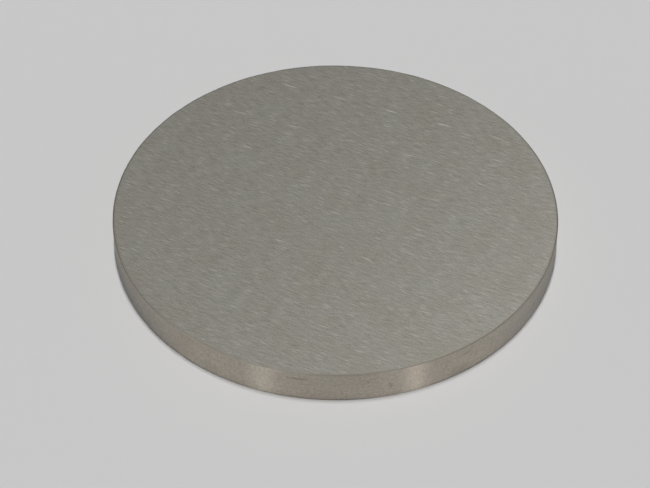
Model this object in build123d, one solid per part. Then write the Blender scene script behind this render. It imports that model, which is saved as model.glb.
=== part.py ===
from build123d import *
import os

# Sputtering target: a plain disc of nickel niobium alloy, one solid piece.
# It is turned to its diameter and ground flat on both faces, with no hole and no step,
# and a small 45 degree break takes the burr off each edge.
# The origin is the centre of the back face, and +Z points out of the sputtered face.

# Driving dimensions, in millimetres
target_diameter = 76.2
target_thickness = 6.0
front_edge_break = 0.2
back_edge_break = 0.2


def half_section():
    """Half of the disc's section, from the centre line out to the turned rim."""
    rim_radius = target_diameter / 2
    outline = Polyline(
        (0, 0),
        (rim_radius - back_edge_break, 0),
        (rim_radius, back_edge_break),
        (rim_radius, target_thickness - front_edge_break),
        (rim_radius - front_edge_break, target_thickness),
        (0, target_thickness),
        close=True,
    )
    return Plane.XZ * make_face(outline)


def target_disc():
    """The whole disc: its half section turned once round the centre line."""
    disc = revolve(half_section(), axis=Axis.Z, revolution_arc=360)
    disc.label = "target_disc"
    return disc


os.makedirs("parts", exist_ok=True)
export_step(target_disc(), "parts/target_disc.step")
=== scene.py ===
import math

import bpy
from mathutils import Matrix, Vector


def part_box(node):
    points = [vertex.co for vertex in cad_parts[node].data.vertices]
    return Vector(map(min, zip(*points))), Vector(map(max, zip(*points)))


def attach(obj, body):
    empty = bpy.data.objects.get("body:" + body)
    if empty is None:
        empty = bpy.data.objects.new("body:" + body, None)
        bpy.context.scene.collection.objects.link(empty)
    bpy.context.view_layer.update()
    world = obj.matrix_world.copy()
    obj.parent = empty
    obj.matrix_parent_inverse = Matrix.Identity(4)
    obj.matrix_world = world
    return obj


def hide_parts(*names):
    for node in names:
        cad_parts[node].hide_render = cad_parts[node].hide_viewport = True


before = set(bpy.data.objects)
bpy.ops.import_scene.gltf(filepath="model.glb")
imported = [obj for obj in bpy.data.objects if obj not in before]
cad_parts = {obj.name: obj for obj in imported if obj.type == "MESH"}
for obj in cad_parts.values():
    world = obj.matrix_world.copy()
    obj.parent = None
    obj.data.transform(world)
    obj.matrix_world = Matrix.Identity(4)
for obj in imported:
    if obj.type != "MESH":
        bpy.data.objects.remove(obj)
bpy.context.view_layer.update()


# The target disc, the one piece of the object: a bare disc of nickel niobium alloy.
# It was turned to its diameter and ground on both faces with a straight lay, and a file
# or stone took the burr off both edges. It lies on its back face, held by nothing.

MM = 0.001
disc_low, disc_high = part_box("target_disc")
disc_radius = (disc_high.x - disc_low.x) / 2
disc_thickness = disc_high.z - disc_low.z
edge_break = 0.2 * MM
corner_rounding = 0.18 * MM
steps_round = 480
steps_in_corner = 5
weld_distance = 0.002 * MM
crease_angle = math.radians(4)
break_unevenness = 0.25
break_seed = 7.0
back_break_share = 0.7
least_break_share = 0.15

lay_angle = math.radians(-25)
lay_wander = math.radians(8)
lay_streak_length = 2.1 * MM
lay_streak_width = 0.27 * MM
grain_size = 0.25 * MM
cloud_size = 7 * MM
painted_light_across_face = 0.035
rim_grain_size = 0.4 * MM
# The painted edge shade: a darker ring along each face's edge.
edge_shade_width = 0.35 * MM
edge_shade_in_front = 0.15
edge_shade_at_back = 0.9
turning_line_pitch = 0.16 * MM
turning_line_length = 5 * MM
rim_wave_size = 5 * MM

face_alloy = (0.450, 0.426, 0.364, 1)
face_alloy_cool = (0.426, 0.420, 0.378, 1)
stroke_alloy = (0.86, 0.85, 0.80, 1)
edge_shade_alloy = (0.33, 0.315, 0.27, 1)
rim_alloy = (0.485, 0.454, 0.387, 1)
rim_alloy_brown = (0.464, 0.408, 0.356, 1)
# Painted shade at the rim's foot on both sides, and a painted bluish reflection there.
rim_painted_shade = (0.72, 0.745, 0.785, 1)
rim_painted_sheen = (0.98, 1.01, 1.06, 1)
rim_mark_and_shade_alloy = (0.20, 0.18, 0.155, 1)
# Painted edge shade: the breaks' darker colour, weaker on a stretch at the front left.
break_shade_alloy = (0.275, 0.255, 0.216, 1)
paler_break_alloy = (0.365, 0.34, 0.289, 1)
paler_break_place = math.radians(-112)
paler_break_reach = math.radians(36)

# Where the break of an edge is not its usual width: the edge, the place round the disc and the
# reach to each side in degrees, and the change of width as a share.
break_places = {
    "Worn": ("front", -127, 13, 0.25),
    "Missed": ("front", -111, 10, -0.85),
    "Thin": ("front", -74, 9, -0.45),
    "Light": ("front", -148, 20, -0.50),
    "Foot Left": ("back", -110, 10, -0.45),
    "Foot Right": ("back", -73, 14, -0.55),
}

# The strokes strewn over both faces: the length, the width, the turn from the lay, the share
# of the places that hold one, and the strength from 0 to 1.
strewn_strokes = [
    (1.6 * MM, 0.23 * MM, -lay_wander / 2, 0.50, 0.42),
    (2.6 * MM, 0.27 * MM, lay_wander / 2, 0.20, 0.44),
]

# The deepest strokes of the front face, where the real disc has them: the middle's X and Y
# in mm, the length in mm, the angle in degrees and the strength from 0 to 1.
deepest_stroke_width = 0.32 * MM
deepest_strokes = [
    (-8.3, 32.1, 4.2, -24, 0.70),
    (8.8, 34.1, 3.3, -22, 0.41),
    (0.9, 28.7, 4.0, -23, 0.54),
    (-17.0, 24.7, 3.8, -21, 0.50),
    (10.1, 25.1, 3.3, -21, 0.70),
    (19.5, 21.5, 3.7, -26, 0.70),
    (-7.5, 21.1, 3.8, -17, 0.54),
    (28.6, 18.2, 3.7, -26, 0.50),
    (2.7, 17.3, 2.8, -21, 0.50),
    (-15.6, 15.6, 2.9, -25, 0.62),
    (12.9, 13.5, 3.7, -13, 0.54),
    (-9.3, -7.9, 2.9, -20, 0.50),
    (12.5, -10.9, 3.7, -25, 0.41),
    (5.4, -12.3, 2.9, -36, 0.54),
]

# Handling marks on the rim, and two low patches of painted shade at its foot: the place round the disc in
# degrees, the height in mm, the length and width in mm, the slope in degrees and the strength from 0 to 1.
rim_marks_and_foot_shade = [
    (-99.2, 4.6, 5.4, 0.65, -1, 0.43),
    (-56.5, 4.3, 2.4, 0.50, 5, 0.42),
    (-76.7, 2.6, 1.1, 2.4, 12, 0.28),
    (-82.2, 4.1, 1.0, 1.1, 0, 0.24),
    (-62.0, 3.6, 0.8, 2.6, -8, 0.13),
    # The last two are not marks but painted shade low on the rim, one each side of the front.
    (-122.5, 1.1, 6.0, 3.0, 0, 0.16),
    (-58.0, 1.1, 6.0, 3.0, 0, 0.20),
]


def group_inputs(tree, kinds):
    """Names the inputs of a node tree and gives back its input node."""
    for name, kind, value in kinds:
        socket = tree.interface.new_socket(name, in_out="INPUT", socket_type=kind)
        if value is not None:
            socket.default_value = value
    return tree.nodes.new("NodeGroupInput")


def wire(tree, node, inputs):
    """Sets a node's inputs, each to a value or to another node's output."""
    for key, value in inputs.items():
        if isinstance(value, bpy.types.NodeSocket):
            tree.links.new(value, node.inputs[key])
        else:
            node.inputs[key].default_value = value
    return node


def maths(tree, operation, *inputs):
    """A Math node of one operation, and its result."""
    node = tree.nodes.new("ShaderNodeMath")
    node.operation = operation
    return wire(tree, node, dict(enumerate(inputs))).outputs[0]


def turned_disc_tree(materials):
    """Turns the disc's half section once round the Z axis, and dresses each zone of it."""
    tree = bpy.data.node_groups.new("turned_disc", "GeometryNodeTree")
    tree.is_modifier = True
    size = group_inputs(tree, [
        ("Radius", "NodeSocketFloat", 0.0381),
        ("Thickness", "NodeSocketFloat", 0.006),
        ("Edge Break", "NodeSocketFloat", 0.0002),
        ("Corner Rounding", "NodeSocketFloat", 0.00005),
        ("Corner Steps", "NodeSocketInt", 3),
        ("Steps Round", "NodeSocketInt", 480),
        ("Break Unevenness", "NodeSocketFloat", 0.2),
        ("Back Break Share", "NodeSocketFloat", 1.0),
        ("Least Break Share", "NodeSocketFloat", 0.1),
        ("Seed", "NodeSocketFloat", 7.0),
    ] + [
        (f"{name} {what}", "NodeSocketFloat", 0.0)
        for name in break_places
        for what in ("Place", "Reach", "Change")
    ]).outputs
    tree.interface.new_socket("Geometry", in_out="OUTPUT", socket_type="NodeSocketGeometry")

    face_edge = maths(tree, "SUBTRACT", size["Radius"], size["Edge Break"])
    rim_top = maths(tree, "SUBTRACT", size["Thickness"], size["Edge Break"])
    corners = [
        (0.0, 0.0),
        (face_edge, 0.0),
        (size["Radius"], size["Edge Break"]),
        (size["Radius"], rim_top),
        (face_edge, size["Thickness"]),
        (0.0, size["Thickness"]),
    ]
    corner = tree.nodes.new("GeometryNodeIndexSwitch")
    corner.data_type = "VECTOR"
    while len(corner.index_switch_items) < len(corners):
        corner.index_switch_items.new()
    tree.links.new(tree.nodes.new("GeometryNodeInputIndex").outputs[0], corner.inputs["Index"])
    for number, (across, up) in enumerate(corners):
        at = tree.nodes.new("ShaderNodeCombineXYZ")
        wire(tree, at, {"X": across, "Z": up})
        tree.links.new(at.outputs[0], corner.inputs[number + 1])
    points = wire(tree, tree.nodes.new("GeometryNodePoints"), {
        "Count": len(corners),
        "Position": corner.outputs[0],
    })
    section = wire(tree, tree.nodes.new("GeometryNodePointsToCurves"), {"Points": points.outputs[0]})
    rounded = tree.nodes.new("GeometryNodeFilletCurve")
    rounded.mode = "POLY"
    wire(tree, rounded, {
        "Curve": section.outputs[0],
        "Count": size["Corner Steps"],
        "Radius": size["Corner Rounding"],
    })

    section_size = tree.nodes.new("GeometryNodeAttributeDomainSize")
    section_size.component = "CURVE"
    wire(tree, section_size, {"Geometry": rounded.outputs[0]})
    rows = section_size.outputs["Point Count"]
    columns = maths(tree, "ADD", size["Steps Round"], 1)
    grid = wire(tree, tree.nodes.new("GeometryNodeMeshGrid"), {"Vertices X": columns, "Vertices Y": rows})
    index = tree.nodes.new("GeometryNodeInputIndex").outputs[0]
    row = maths(tree, "MODULO", index, rows)
    column = maths(tree, "FLOOR", maths(tree, "DIVIDE", maths(tree, "ADD", index, 0.5), rows))
    turn = maths(tree, "MULTIPLY", maths(tree, "DIVIDE", column, size["Steps Round"]), math.tau)
    on_section = tree.nodes.new("GeometryNodeSampleIndex")
    on_section.data_type = "FLOAT_VECTOR"
    on_section.domain = "POINT"
    wire(tree, on_section, {
        "Geometry": rounded.outputs[0],
        "Value": tree.nodes.new("GeometryNodeInputPosition").outputs[0],
        "Index": row,
    })
    place = wire(tree, tree.nodes.new("ShaderNodeSeparateXYZ"), {0: on_section.outputs[0]}).outputs

    # The break was run round by hand, so its width wanders a little, on each edge by itself. The
    # noise strays a quarter from its middle, and four times that is the whole unevenness.
    way_between_edges = 3.7
    to_whole_unevenness = 4.0
    front_half = maths(tree, "GREATER_THAN", place["Z"], maths(tree, "DIVIDE", size["Thickness"], 2))
    edge_z = maths(tree, "MULTIPLY", front_half, size["Thickness"])
    cosine = maths(tree, "COSINE", turn)
    sine = maths(tree, "SINE", turn)
    round_way = wire(tree, tree.nodes.new("ShaderNodeCombineXYZ"), {
        "X": cosine,
        "Y": sine,
        "Z": maths(tree, "MULTIPLY_ADD", front_half, way_between_edges, size["Seed"]),
    }).outputs[0]
    wander = wire(tree, tree.nodes.new("ShaderNodeTexNoise"), {
        "Vector": round_way,
        "Scale": 3.0,
        "Detail": 3.0,
    }).outputs[0]
    swing = maths(tree, "MULTIPLY", maths(tree, "SUBTRACT", wander, 0.5), size["Break Unevenness"])
    shares = {"front": 1.0, "back": size["Back Break Share"]}
    for name, (edge, *_) in break_places.items():
        here = tree.nodes.new("ShaderNodeMapRange")
        here.interpolation_type = "SMOOTHSTEP"
        wire(tree, here, {
            "Value": maths(tree, "COSINE", maths(tree, "SUBTRACT", turn, size[f"{name} Place"])),
            "From Min": maths(tree, "COSINE", size[f"{name} Reach"]),
            "From Max": 1.0,
            "To Max": size[f"{name} Change"],
        })
        shares[edge] = maths(tree, "ADD", here.outputs[0], shares[edge])
    share = tree.nodes.new("GeometryNodeSwitch")
    share.input_type = "FLOAT"
    wire(tree, share, {"Switch": front_half, "False": shares["back"], "True": shares["front"]})
    wandering = maths(tree, "MULTIPLY_ADD", swing, to_whole_unevenness, share.outputs[0])
    stretch = maths(tree, "MAXIMUM", wandering, size["Least Break Share"])
    near_edge = maths(tree, "GREATER_THAN", place["X"], maths(tree, "DIVIDE", size["Radius"], 2))
    inward = maths(tree, "MULTIPLY", maths(tree, "SUBTRACT", size["Radius"], place["X"]), stretch)
    across = maths(tree, "MULTIPLY", maths(tree, "SUBTRACT", size["Radius"], inward), near_edge)
    up = maths(tree, "MULTIPLY_ADD", maths(tree, "SUBTRACT", place["Z"], edge_z), stretch, edge_z)
    turned_to = wire(tree, tree.nodes.new("ShaderNodeCombineXYZ"), {
        "X": maths(tree, "MULTIPLY", across, cosine),
        "Y": maths(tree, "MULTIPLY", across, sine),
        "Z": up,
    }).outputs[0]
    turned = wire(tree, tree.nodes.new("GeometryNodeSetPosition"), {
        "Geometry": grid.outputs["Mesh"],
        "Position": turned_to,
    })
    closed = wire(tree, tree.nodes.new("GeometryNodeMergeByDistance"), {
        "Geometry": turned.outputs[0],
        "Distance": weld_distance,
    })

    # Each zone is smooth round the disc and keeps its own slope across it.
    smooth = wire(tree, tree.nodes.new("GeometryNodeSetShadeSmooth"), {"Geometry": closed.outputs[0]})
    fold = tree.nodes.new("GeometryNodeInputMeshEdgeAngle").outputs["Unsigned Angle"]
    creased = tree.nodes.new("GeometryNodeSetShadeSmooth")
    creased.domain = "EDGE"
    wire(tree, creased, {
        "Geometry": smooth.outputs[0],
        "Selection": maths(tree, "GREATER_THAN", fold, crease_angle),
        "Shade Smooth": False,
    })

    normal = tree.nodes.new("GeometryNodeInputNormal").outputs[0]
    slope = wire(tree, tree.nodes.new("ShaderNodeSeparateXYZ"), {0: normal}).outputs["Z"]
    zones = [
        (materials["edge"], None),
        (materials["rim"], maths(tree, "LESS_THAN", maths(tree, "ABSOLUTE", slope), 0.1)),
        (materials["front"], maths(tree, "GREATER_THAN", slope, 0.99)),
        (materials["back"], maths(tree, "LESS_THAN", slope, -0.99)),
    ]
    dressed = wire(tree, tree.nodes.new("GeometryNodeRealizeInstances"), {"Geometry": creased.outputs[0]})
    for material, where in zones:
        zone = wire(tree, tree.nodes.new("GeometryNodeSetMaterial"), {
            "Geometry": dressed.outputs[0],
            "Material": material,
        })
        if where is not None:
            tree.links.new(where, zone.inputs["Selection"])
        dressed = zone
    output = tree.nodes.new("NodeGroupOutput")
    tree.links.new(dressed.outputs[0], output.inputs[0])
    return tree


def shader_group(name, inputs, outputs):
    """An empty shader node group with named inputs and outputs."""
    tree = bpy.data.node_groups.new(name, "ShaderNodeTree")
    given = group_inputs(tree, inputs).outputs
    for out_name, kind in outputs:
        tree.interface.new_socket(out_name, in_out="OUTPUT", socket_type=kind)
    return tree, given, tree.nodes.new("NodeGroupOutput")


def place_group(tree, group, inputs):
    """Places a node group in a tree, with its own values, and gives back its outputs."""
    node = tree.nodes.new("ShaderNodeGroup")
    node.node_tree = group
    return wire(tree, node, inputs).outputs


def along_lay(tree, vector, angle, length, width):
    """Coordinates turned to the lay and stretched along it, one unit to a mark's length and width."""
    turned = tree.nodes.new("ShaderNodeVectorRotate")
    turned.rotation_type = "Z_AXIS"
    wire(tree, turned, {"Vector": vector, "Angle": maths(tree, "MULTIPLY", angle, -1.0)})
    way = wire(tree, tree.nodes.new("ShaderNodeSeparateXYZ"), {0: turned.outputs[0]}).outputs
    return wire(tree, tree.nodes.new("ShaderNodeCombineXYZ"), {
        "X": maths(tree, "DIVIDE", way["X"], length),
        "Y": maths(tree, "DIVIDE", way["Y"], width),
        "Z": maths(tree, "DIVIDE", way["Z"], width),
    }).outputs[0]


def streak_group():
    """The straight lay that a surface grinder leaves: short soft streaks side by side."""
    tree, given, out = shader_group("grinding_streaks", [
        ("Vector", "NodeSocketVector", None),
        ("Lay Angle", "NodeSocketFloat", 0.0),
        ("Length", "NodeSocketFloat", 0.002),
        ("Width", "NodeSocketFloat", 0.0004),
    ], [("Streaks", "NodeSocketFloat")])
    streaks = wire(tree, tree.nodes.new("ShaderNodeTexNoise"), {
        "Vector": along_lay(tree, given["Vector"], given["Lay Angle"], given["Length"], given["Width"]),
        "Scale": 1.0,
        "Detail": 2.0,
        "Roughness": 0.6,
    })
    tree.links.new(streaks.outputs[0], out.inputs["Streaks"])
    return tree


def stroke_group():
    """Single strokes that one coarse grit cut: straight, pointed at both ends, strewn over a face."""
    tree, given, out = shader_group("grit_strokes", [
        ("Vector", "NodeSocketVector", None),
        ("Lay Angle", "NodeSocketFloat", 0.0),
        ("Length", "NodeSocketFloat", 0.002),
        ("Width", "NodeSocketFloat", 0.0003),
        ("Share", "NodeSocketFloat", 0.1),
    ], [("Strokes", "NodeSocketFloat")])
    reach = 0.18
    cells = tree.nodes.new("ShaderNodeTexVoronoi")
    cells.voronoi_dimensions = "2D"
    wire(tree, cells, {
        "Vector": along_lay(
            tree, given["Vector"], given["Lay Angle"],
            maths(tree, "DIVIDE", given["Length"], 2 * reach),
            maths(tree, "DIVIDE", given["Width"], 2 * reach),
        ),
        "Scale": 1.0,
        "Randomness": 0.8,
    })
    chance = wire(tree, tree.nodes.new("ShaderNodeSeparateColor"), {0: cells.outputs["Color"]}).outputs
    core = tree.nodes.new("ShaderNodeMapRange")
    core.interpolation_type = "SMOOTHSTEP"
    wire(tree, core, {"Value": cells.outputs["Distance"], "From Min": reach, "From Max": 0.3 * reach})
    chosen = maths(tree, "LESS_THAN", chance[0], given["Share"])
    strength = maths(tree, "MULTIPLY", chosen, maths(tree, "MULTIPLY_ADD", chance[1], 0.7, 0.3))
    tree.links.new(maths(tree, "MULTIPLY", core.outputs[0], strength), out.inputs["Strokes"])
    return tree


def mark_group():
    """One mark at one place: a stroke on a face, a knock or a smudge on the rim, or a patch of painted shade
    on the rim.
    """
    tree, given, out = shader_group("single_mark", [
        ("Vector", "NodeSocketVector", None),
        ("Middle", "NodeSocketVector", None),
        ("Angle", "NodeSocketFloat", 0.0),
        ("Length", "NodeSocketFloat", 0.002),
        ("Width", "NodeSocketFloat", 0.0003),
    ], [("Mark", "NodeSocketFloat")])
    offset = tree.nodes.new("ShaderNodeVectorMath")
    offset.operation = "SUBTRACT"
    wire(tree, offset, {0: given["Vector"], 1: given["Middle"]})
    distance = tree.nodes.new("ShaderNodeVectorMath")
    distance.operation = "LENGTH"
    stretched = along_lay(tree, offset.outputs[0], given["Angle"], given["Length"], given["Width"])
    wire(tree, distance, {0: stretched})
    mark = tree.nodes.new("ShaderNodeMapRange")
    mark.interpolation_type = "SMOOTHSTEP"
    wire(tree, mark, {"Value": distance.outputs["Value"], "From Min": 0.5, "From Max": 0.15})
    tree.links.new(mark.outputs[0], out.inputs["Mark"])
    return tree


def grain_group():
    """Fine even grain and slow clouding, which every surface of the alloy shows."""
    tree, given, out = shader_group("alloy_grain", [
        ("Vector", "NodeSocketVector", None),
        ("Grain Size", "NodeSocketFloat", 0.0003),
        ("Cloud Size", "NodeSocketFloat", 0.01),
    ], [
        ("Grain", "NodeSocketFloat"),
        ("Cloud", "NodeSocketFloat"),
    ])
    for out_name, size, detail in (("Grain", "Grain Size", 1.0), ("Cloud", "Cloud Size", 3.0)):
        noise = wire(tree, tree.nodes.new("ShaderNodeTexNoise"), {
            "Vector": given["Vector"],
            "Scale": maths(tree, "DIVIDE", 1.0, given[size]),
            "Detail": detail,
        })
        tree.links.new(noise.outputs[0], out.inputs[out_name])
    return tree


grinding_streaks = streak_group()
grit_strokes = stroke_group()
single_mark = mark_group()
alloy_grain = grain_group()


def blend(tree, share, one, other, way="MIX"):
    """A colour mix of two colours or colour outputs, and its result."""
    mix = tree.nodes.new("ShaderNodeMix")
    mix.data_type = "RGBA"
    mix.blend_type = way
    wire(tree, mix, {0: share, 6: one, 7: other})
    return mix.outputs[2]


def spread(tree, value, low, high):
    """Maps a 0 to 1 noise value to a range."""
    node = tree.nodes.new("ShaderNodeMapRange")
    node.clamp = True
    wire(tree, node, {"Value": value, "From Min": 0.2, "From Max": 0.8, "To Min": low, "To Max": high})
    return node.outputs[0]


def alloy_material(name, anisotropy, turn_of_lines):
    """A bare metal material: its tree, its shader and its Object coordinates."""
    material = bpy.data.materials.new(name)
    material.use_nodes = True
    tree = material.node_tree
    shader = tree.nodes["Principled BSDF"]
    shader.inputs["Metallic"].default_value = 1.0
    shader.inputs["Anisotropic"].default_value = anisotropy
    shader.inputs["Anisotropic Rotation"].default_value = turn_of_lines
    tangent = tree.nodes.new("ShaderNodeTangent")
    tangent.direction_type = "UV_MAP"
    tangent.uv_map = "way_of_lines"
    tree.links.new(tangent.outputs[0], shader.inputs["Tangent"])
    vector = tree.nodes.new("ShaderNodeTexCoord").outputs["Object"]
    return material, tree, shader, vector


def strongest(tree, masks):
    """The highest of several masks."""
    top = masks[0]
    for mask in masks[1:]:
        top = maths(tree, "MAXIMUM", top, mask)
    return top


def ground_face(name, alloy, alloy_cool, shift, strokes_by_hand):
    """A face from the surface grinder."""
    material, tree, shader, vector = alloy_material(name, anisotropy=0.45, turn_of_lines=0.25)
    flat = wire(tree, tree.nodes.new("ShaderNodeMapping"), {
        "Vector": vector,
        "Location": (shift, 0, 0),
        "Scale": (1, 1, 0),
    }).outputs[0]
    grain = place_group(tree, alloy_grain, {
        "Vector": flat,
        "Grain Size": grain_size,
        "Cloud Size": cloud_size,
    })
    streaks = [
        place_group(tree, grinding_streaks, {
            "Vector": flat,
            "Lay Angle": lay_angle + side * lay_wander,
            "Length": lay_streak_length,
            "Width": lay_streak_width,
        })["Streaks"]
        for side in (-1, 1)
    ]
    lay = maths(tree, "MULTIPLY", maths(tree, "ADD", *streaks), 0.5)
    strokes = []
    for length, width, turned, share, strength in strewn_strokes:
        strewn = place_group(tree, grit_strokes, {
            "Vector": flat,
            "Lay Angle": lay_angle + turned,
            "Length": length,
            "Width": width,
            "Share": share,
        })["Strokes"]
        strokes.append(maths(tree, "MULTIPLY", strewn, strength))
    for x, y, length, angle, strength in strokes_by_hand:
        single = place_group(tree, single_mark, {
            "Vector": flat,
            "Middle": (x * MM, y * MM, 0),
            "Angle": math.radians(angle),
            "Length": length * MM,
            "Width": deepest_stroke_width,
        })["Mark"]
        strokes.append(maths(tree, "MULTIPLY", single, strength))
    base = blend(tree, spread(tree, grain["Cloud"], 0.0, 1.0), alloy, alloy_cool)
    clouded = blend(tree, 1.0, base, spread(tree, grain["Cloud"], 0.94, 1.06), "MULTIPLY")
    way = wire(tree, tree.nodes.new("ShaderNodeSeparateXYZ"), {0: vector}).outputs
    # Painted light: the face is painted paler towards the near side and darker towards the far side.
    painted_front_light = wire(tree, tree.nodes.new("ShaderNodeMapRange"), {
        "Value": way["Y"],
        "From Min": -disc_radius,
        "From Max": disc_radius,
        "To Min": 1.0 + painted_light_across_face,
        "To Max": 1.0 - painted_light_across_face,
    }).outputs[0]
    shaded = blend(tree, 1.0, clouded, painted_front_light, "MULTIPLY")
    streaked = blend(tree, 1.0, shaded, spread(tree, lay, 0.65, 1.35), "MULTIPLY")
    grained = blend(tree, 1.0, streaked, spread(tree, grain["Grain"], 0.84, 1.16), "MULTIPLY")
    stroked = blend(tree, strongest(tree, strokes), grained, stroke_alloy)

    # A narrow duller ring is painted along the face's edge as painted edge shade,
    # plainest at the back.
    out_from_axis = maths(tree, "SQRT", maths(
        tree, "ADD", maths(tree, "MULTIPLY", way["X"], way["X"]), maths(tree, "MULTIPLY", way["Y"], way["Y"])
    ))
    edge_shade_ring = tree.nodes.new("ShaderNodeMapRange")
    edge_shade_ring.interpolation_type = "SMOOTHSTEP"
    face_edge = disc_radius - edge_break
    wire(tree, edge_shade_ring, {
        "Value": out_from_axis,
        "From Min": face_edge - edge_shade_width,
        "From Max": face_edge - 0.3 * edge_shade_width,
    })
    edge_shade_toward_back = wire(tree, tree.nodes.new("ShaderNodeMapRange"), {
        "Value": way["Y"],
        "From Min": -0.8 * disc_radius,
        "From Max": 0.8 * disc_radius,
        "To Min": edge_shade_in_front,
        "To Max": edge_shade_at_back,
    }).outputs[0]
    finished = blend(tree, maths(tree, "MULTIPLY", edge_shade_ring.outputs[0], edge_shade_toward_back), stroked, edge_shade_alloy)
    tree.links.new(finished, shader.inputs["Base Color"])
    tree.links.new(spread(tree, lay, 0.50, 0.40), shader.inputs["Roughness"])
    height = maths(tree, "MULTIPLY_ADD", grain["Grain"], 0.5, lay)
    bump = wire(tree, tree.nodes.new("ShaderNodeBump"), {
        "Strength": 0.35,
        "Distance": 0.000015,
        "Height": height,
    })
    tree.links.new(bump.outputs[0], shader.inputs["Normal"])
    return material


def turned_rim():
    """The rim as it left the lathe: fine lines round the disc, a little browner than the faces."""
    material, tree, shader, vector = alloy_material("turned_rim", anisotropy=1.0, turn_of_lines=0.25)
    shader.inputs["Specular Tint"].default_value = (0.55, 0.55, 0.55, 1)
    grain = place_group(tree, alloy_grain, {
        "Vector": vector,
        "Grain Size": rim_grain_size,
        "Cloud Size": cloud_size,
    })
    way = wire(tree, tree.nodes.new("ShaderNodeSeparateXYZ"), {0: vector}).outputs
    lines = wire(tree, tree.nodes.new("ShaderNodeTexNoise"), {
        "Vector": wire(tree, tree.nodes.new("ShaderNodeCombineXYZ"), {
            "X": maths(tree, "DIVIDE", way["X"], turning_line_length),
            "Y": maths(tree, "DIVIDE", way["Y"], turning_line_length),
            "Z": maths(tree, "DIVIDE", way["Z"], turning_line_pitch),
        }).outputs[0],
        "Scale": 1.0,
        "Detail": 2.0,
    }).outputs[0]
    waves = wire(tree, tree.nodes.new("ShaderNodeTexNoise"), {
        "Vector": vector,
        "Scale": 1 / rim_wave_size,
        "Detail": 1.0,
    }).outputs[0]

    # The marks and the patches of painted shade are laid out on the unrolled rim: the way round the disc,
    # and the height.
    way_round = maths(tree, "MULTIPLY", maths(tree, "ARCTAN2", way["Y"], way["X"]), disc_radius)
    unrolled = wire(tree, tree.nodes.new("ShaderNodeCombineXYZ"), {"X": way_round, "Y": way["Z"]}).outputs[0]
    marks_and_foot_shade = []
    for place, height, length, width, slope, strength in rim_marks_and_foot_shade:
        single = place_group(tree, single_mark, {
            "Vector": unrolled,
            "Middle": (math.radians(place) * disc_radius, height * MM, 0),
            "Angle": math.radians(slope),
            "Length": length * MM,
            "Width": width * MM,
        })["Mark"]
        marks_and_foot_shade.append(maths(tree, "MULTIPLY", single, strength))

    # Painted shade on both sides, darkest at the foot and on the left, and a painted bluish
    # reflection on the sides, strongest on the right.
    at_side = tree.nodes.new("ShaderNodeMapRange")
    at_side.interpolation_type = "SMOOTHSTEP"
    wire(tree, at_side, {
        "Value": maths(tree, "ABSOLUTE", way["X"]),
        "From Min": 0.57 * disc_radius,
        "From Max": 0.92 * disc_radius,
    })
    at_foot = tree.nodes.new("ShaderNodeMapRange")
    at_foot.interpolation_type = "SMOOTHSTEP"
    wire(tree, at_foot, {"Value": way["Z"], "From Min": 0.95 * disc_thickness, "From Max": 0.0})
    left_weight = wire(tree, tree.nodes.new("ShaderNodeMapRange"), {
        "Value": way["X"],
        "From Min": -0.3 * disc_radius,
        "From Max": 0.3 * disc_radius,
        "To Min": 1.0,
        "To Max": 0.6,
    }).outputs[0]
    painted_foot_shade = maths(tree, "MULTIPLY", at_side.outputs[0], maths(tree, "MULTIPLY", at_foot.outputs[0], left_weight))

    base = blend(tree, spread(tree, grain["Cloud"], 0.0, 1.0), rim_alloy, rim_alloy_brown)
    lined = blend(tree, 1.0, base, spread(tree, lines, 0.94, 1.06), "MULTIPLY")
    grained = blend(tree, 1.0, lined, spread(tree, grain["Grain"], 0.83, 1.17), "MULTIPLY")
    painted_sheen_share = maths(tree, "MULTIPLY", at_side.outputs[0], maths(tree, "SUBTRACT", 1.5, left_weight))
    with_painted_sheen = blend(tree, painted_sheen_share, grained, blend(tree, 1.0, grained, rim_painted_sheen, "MULTIPLY"))
    with_painted_shade = blend(tree, painted_foot_shade, with_painted_sheen, blend(tree, 1.0, with_painted_sheen, rim_painted_shade, "MULTIPLY"))
    marked = blend(tree, strongest(tree, marks_and_foot_shade), with_painted_shade, rim_mark_and_shade_alloy)
    tree.links.new(marked, shader.inputs["Base Color"])
    tree.links.new(spread(tree, lines, 0.34, 0.28), shader.inputs["Roughness"])
    bump = wire(tree, tree.nodes.new("ShaderNodeBump"), {
        "Strength": 0.3,
        "Distance": 0.00001,
        "Height": maths(tree, "MULTIPLY_ADD", waves, 4.0, lines),
    })
    tree.links.new(bump.outputs[0], shader.inputs["Normal"])
    return material


def broken_edge():
    """The narrow break along both edges, filed by hand, and painted darker than what it parts as painted
    edge shade.
    """
    material, tree, shader, vector = alloy_material("broken_edge", anisotropy=0.0, turn_of_lines=0.0)
    grain = place_group(tree, alloy_grain, {
        "Vector": vector,
        "Grain Size": grain_size,
        "Cloud Size": cloud_size,
    })
    # On a stretch at the front left the painted edge shade is weaker, and the break is nearly as pale as the
    # metal beside it.
    way = wire(tree, tree.nodes.new("ShaderNodeSeparateXYZ"), {0: vector}).outputs
    towards_paler = maths(
        tree, "MULTIPLY_ADD", way["X"], math.cos(paler_break_place) / disc_radius,
        maths(tree, "MULTIPLY", way["Y"], math.sin(paler_break_place) / disc_radius),
    )
    paler_stretch = tree.nodes.new("ShaderNodeMapRange")
    paler_stretch.interpolation_type = "SMOOTHSTEP"
    wire(tree, paler_stretch, {"Value": towards_paler, "From Min": math.cos(paler_break_reach), "From Max": 0.99})
    base = blend(tree, paler_stretch.outputs[0], break_shade_alloy, paler_break_alloy)
    uneven = blend(tree, 1.0, base, spread(tree, grain["Cloud"], 0.9, 1.12), "MULTIPLY")
    tree.links.new(uneven, shader.inputs["Base Color"])
    tree.links.new(spread(tree, grain["Grain"], 0.42, 0.55), shader.inputs["Roughness"])
    return material


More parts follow.
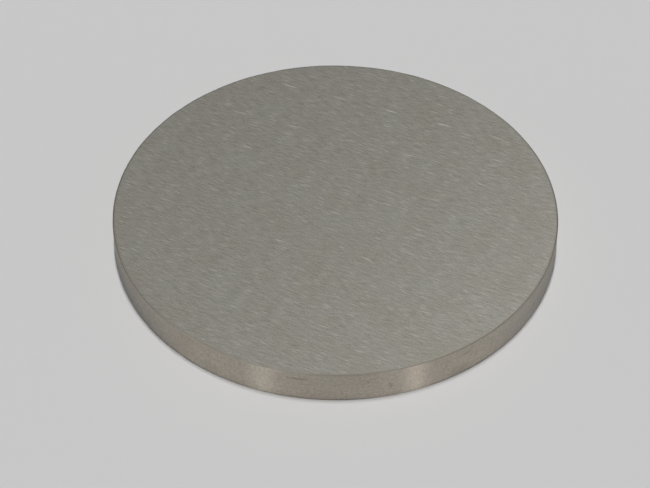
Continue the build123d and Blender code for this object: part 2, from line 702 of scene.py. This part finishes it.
disc_materials = {
    "front": ground_face("ground_front", face_alloy, face_alloy_cool, 0.0, deepest_strokes),
    "back": ground_face("ground_back", face_alloy_cool, face_alloy, 2 * disc_radius, []),
    "rim": turned_rim(),
    "edge": broken_edge(),
}
disc_tree = turned_disc_tree(disc_materials)
blank = bpy.data.objects.new("disc_blank", bpy.data.meshes.new("disc_blank"))
bpy.context.scene.collection.objects.link(blank)
turning = blank.modifiers.new("turning", "NODES")
turning.node_group = disc_tree
disc_sizes = {
    "Radius": disc_radius,
    "Thickness": disc_thickness,
    "Edge Break": edge_break,
    "Corner Rounding": corner_rounding,
    "Corner Steps": steps_in_corner,
    "Steps Round": steps_round,
    "Break Unevenness": break_unevenness,
    "Back Break Share": back_break_share,
    "Least Break Share": least_break_share,
    "Seed": break_seed,
}
for name, (edge, place, reach, change) in break_places.items():
    disc_sizes[f"{name} Place"] = math.radians(place)
    disc_sizes[f"{name} Reach"] = math.radians(reach)
    disc_sizes[f"{name} Change"] = change
for item in disc_tree.interface.items_tree:
    if item.item_type == "SOCKET" and item.in_out == "INPUT":
        turning[item.identifier] = disc_sizes[item.name]
evaluated = blank.evaluated_get(bpy.context.evaluated_depsgraph_get())
disc_mesh = bpy.data.meshes.new_from_object(evaluated)
disc_mesh.name = "target_disc_finished"
bpy.data.objects.remove(blank)
disc = bpy.data.objects.new("target_disc_finished", disc_mesh)
bpy.context.scene.collection.objects.link(disc)


def lay_out_maps(mesh, whole_map, lines_map):
    """The disc's two maps: a place of its own for every face, and the way of the lines."""
    front_centre, front_radius = (0.375, 0.375), 0.365
    back_centre, back_radius = (0.775, 0.775), 0.215
    strips, strip_left, strip_width = 7, 0.755, 0.235
    strip_low, strip_pitch, strip_height = 0.012, 0.0535, 0.046
    whole = mesh.uv_layers.new(name=whole_map).uv
    lines = mesh.uv_layers.new(name=lines_map).uv
    strip_turn = math.tau / strips
    for face in mesh.polygons:
        middle = math.atan2(face.center.y, face.center.x) % math.tau
        strip = int(middle / strip_turn)
        for loop in face.loop_indices:
            at = mesh.vertices[mesh.loops[loop].vertex_index].co
            if abs(face.normal.z) > 0.3:
                in_front = face.normal.z > 0
                centre, radius = (front_centre, front_radius) if in_front else (back_centre, back_radius)
                side = 1 if in_front else -1
                along = side * (at.x * math.cos(lay_angle) + at.y * math.sin(lay_angle))
                across = at.y * math.cos(lay_angle) - at.x * math.sin(lay_angle)
                scale = radius / disc_radius
                whole[loop].vector = (centre[0] + along * scale, centre[1] + across * scale)
                lines[loop].vector = (along / disc_radius, across / disc_radius)
            else:
                turn = math.atan2(at.y, at.x) - middle
                turn = (turn + math.pi) % math.tau - math.pi + middle
                whole[loop].vector = (
                    strip_left + strip_width * (turn / strip_turn - strip),
                    strip_low + strip_pitch * strip + strip_height * at.z / disc_thickness,
                )
                lines[loop].vector = (turn, at.z / disc_radius)


lay_out_maps(disc_mesh, "OFBake", "way_of_lines")
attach(disc, "root")
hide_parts("target_disc")


# The floor: one large plain sheet of pale matt board. The disc lies on it with its whole back
# face, and nothing fixes it there.

floor_half = 3.0
floor_mesh = bpy.data.meshes.new("floor")
floor_corners = [(x * floor_half, y * floor_half, 0) for x, y in ((-1, -1), (1, -1), (1, 1), (-1, 1))]
floor_mesh.from_pydata(floor_corners, [], [(0, 1, 2, 3)])
floor = bpy.data.objects.new("floor", floor_mesh)
bpy.context.scene.collection.objects.link(floor)
board = bpy.data.materials.new("pale_board")
board.use_nodes = True
board.node_tree.nodes["Principled BSDF"].inputs["Base Color"].default_value = (0.80, 0.80, 0.80, 1)
board.node_tree.nodes["Principled BSDF"].inputs["Roughness"].default_value = 0.9
board.node_tree.nodes["Principled BSDF"].inputs["Specular IOR Level"].default_value = 0.0
floor_mesh.materials.append(board)


# Light: a pale room with paler side walls, dimmer low down behind the disc, one soft box
# overhead for the board, a soft panel behind for the face, and narrow upright soft boxes at
# the camera's left and right, which stand in the turned rim as its two bright bands.

room_overhead = 0.625
room_high = 0.36
room_front = 0.45
room_side = 0.81
room_low_behind = 0.18
room_on_board = 0.14
room = bpy.data.worlds.new("room")
room.use_nodes = True
room_tree = room.node_tree
air = room_tree.nodes["Background"]
air.inputs["Color"].default_value = (1, 1, 1, 1)
direction = room_tree.nodes.new("ShaderNodeSeparateXYZ")
room_tree.links.new(room_tree.nodes.new("ShaderNodeTexCoord").outputs["Generated"], direction.inputs[0])
sideways = maths(room_tree, "ABSOLUTE", direction.outputs["X"])
to_camera = maths(room_tree, "MULTIPLY_ADD", direction.outputs["Y"], -0.12, sideways)
pale_parts = []
for way, dim_at, pale_at, pale in (
    (direction.outputs["Z"], 0.0, 0.45, room_high),
    (direction.outputs["Z"], 0.35, 1.0, room_overhead),
    (direction.outputs["Y"], 0.35, -0.35, room_front),
    (to_camera, 0.60, 0.95, room_side),
):
    part = room_tree.nodes.new("ShaderNodeMapRange")
    part.interpolation_type = "SMOOTHSTEP"
    wire(room_tree, part, {
        "Value": way,
        "From Min": dim_at,
        "From Max": pale_at,
        "To Min": room_low_behind,
        "To Max": pale,
    })
    pale_parts.append(part.outputs[0])
room_on_metal = strongest(room_tree, pale_parts)
rays = room_tree.nodes.new("ShaderNodeLightPath")
room_strength = room_tree.nodes.new("ShaderNodeMix")
wire(room_tree, room_strength, {0: rays.outputs["Is Diffuse Ray"], 2: room_on_metal, 3: room_on_board})
room_tree.links.new(room_strength.outputs[0], air.inputs["Strength"])
bpy.context.scene.world = room


def soft_box(name, place, aim, width, height, watts, colour=(1, 1, 1)):
    """A rectangular area light at a place, facing a point."""
    lamp = bpy.data.lights.new(name, "AREA")
    lamp.shape = "RECTANGLE"
    lamp.size = width
    lamp.size_y = height
    lamp.energy = watts
    lamp.color = colour
    box = bpy.data.objects.new(name, lamp)
    box.location = place
    box.rotation_euler = (Vector(aim) - Vector(place)).to_track_quat("-Z", "Y").to_euler()
    bpy.context.scene.collection.objects.link(box)
    return box


disc_middle = (0, 0, 0)
overhead = soft_box("overhead", (0, 0, 1.6), disc_middle, width=0.08, height=0.42, watts=14.35)
overhead.visible_glossy = False
panel = soft_box("back_right_panel", (0.24, 0.08, 0.55), disc_middle, width=0.4, height=0.4, watts=1.0)
panel.visible_diffuse = False
strip_distance = 1.5
strip_middle = 0.35
strip_tallness = 0.7
strip_colour = (1.0, 0.97, 0.94)
for name, degrees_aside, width, watts in (
    ("left_strip_outer", -53, 0.60, 0.6),
    ("left_strip", -31, 0.24, 1.93),
    ("left_strip_inner", -18, 0.15, 0.28),
    ("right_strip", 35, 0.15, 2.45),
    ("right_strip_inner", 22, 0.16, 0.45),
):
    turn = math.radians(-90 + degrees_aside)
    place = (strip_distance * math.cos(turn), strip_distance * math.sin(turn), strip_middle)
    strip = soft_box(name, place, disc_middle, width, strip_tallness, watts, strip_colour)
    strip.visible_diffuse = False


# The camera: a lens as for a close product shot, at the height and framing of the photograph.
# Its distance is known from how much smaller the foot of the disc looks than its front edge.

camera_distance = 9.2 * disc_radius
camera_elevation = math.radians(44.97)
camera_roll = math.radians(0.15)
pixels_per_radius = 226.23
photo_width = 650
camera_aim = Vector((-0.0462 * disc_radius, -0.2270 * disc_radius, disc_thickness))
lens = bpy.data.cameras.new("camera")
lens.sensor_width = 36
lens.lens = pixels_per_radius * camera_distance / disc_radius / photo_width * lens.sensor_width
lens.clip_start = 0.01
camera = bpy.data.objects.new("camera", lens)
bpy.context.scene.collection.objects.link(camera)
back_off = Vector((0, -math.cos(camera_elevation), math.sin(camera_elevation))) * camera_distance
look = Matrix.Rotation(math.pi / 2 - camera_elevation, 4, "X")
camera.matrix_world = Matrix.Translation(camera_aim + back_off) @ look @ Matrix.Rotation(camera_roll, 4, "Z")
bpy.context.scene.camera = camera
bpy.context.scene.view_settings.view_transform = "Standard"
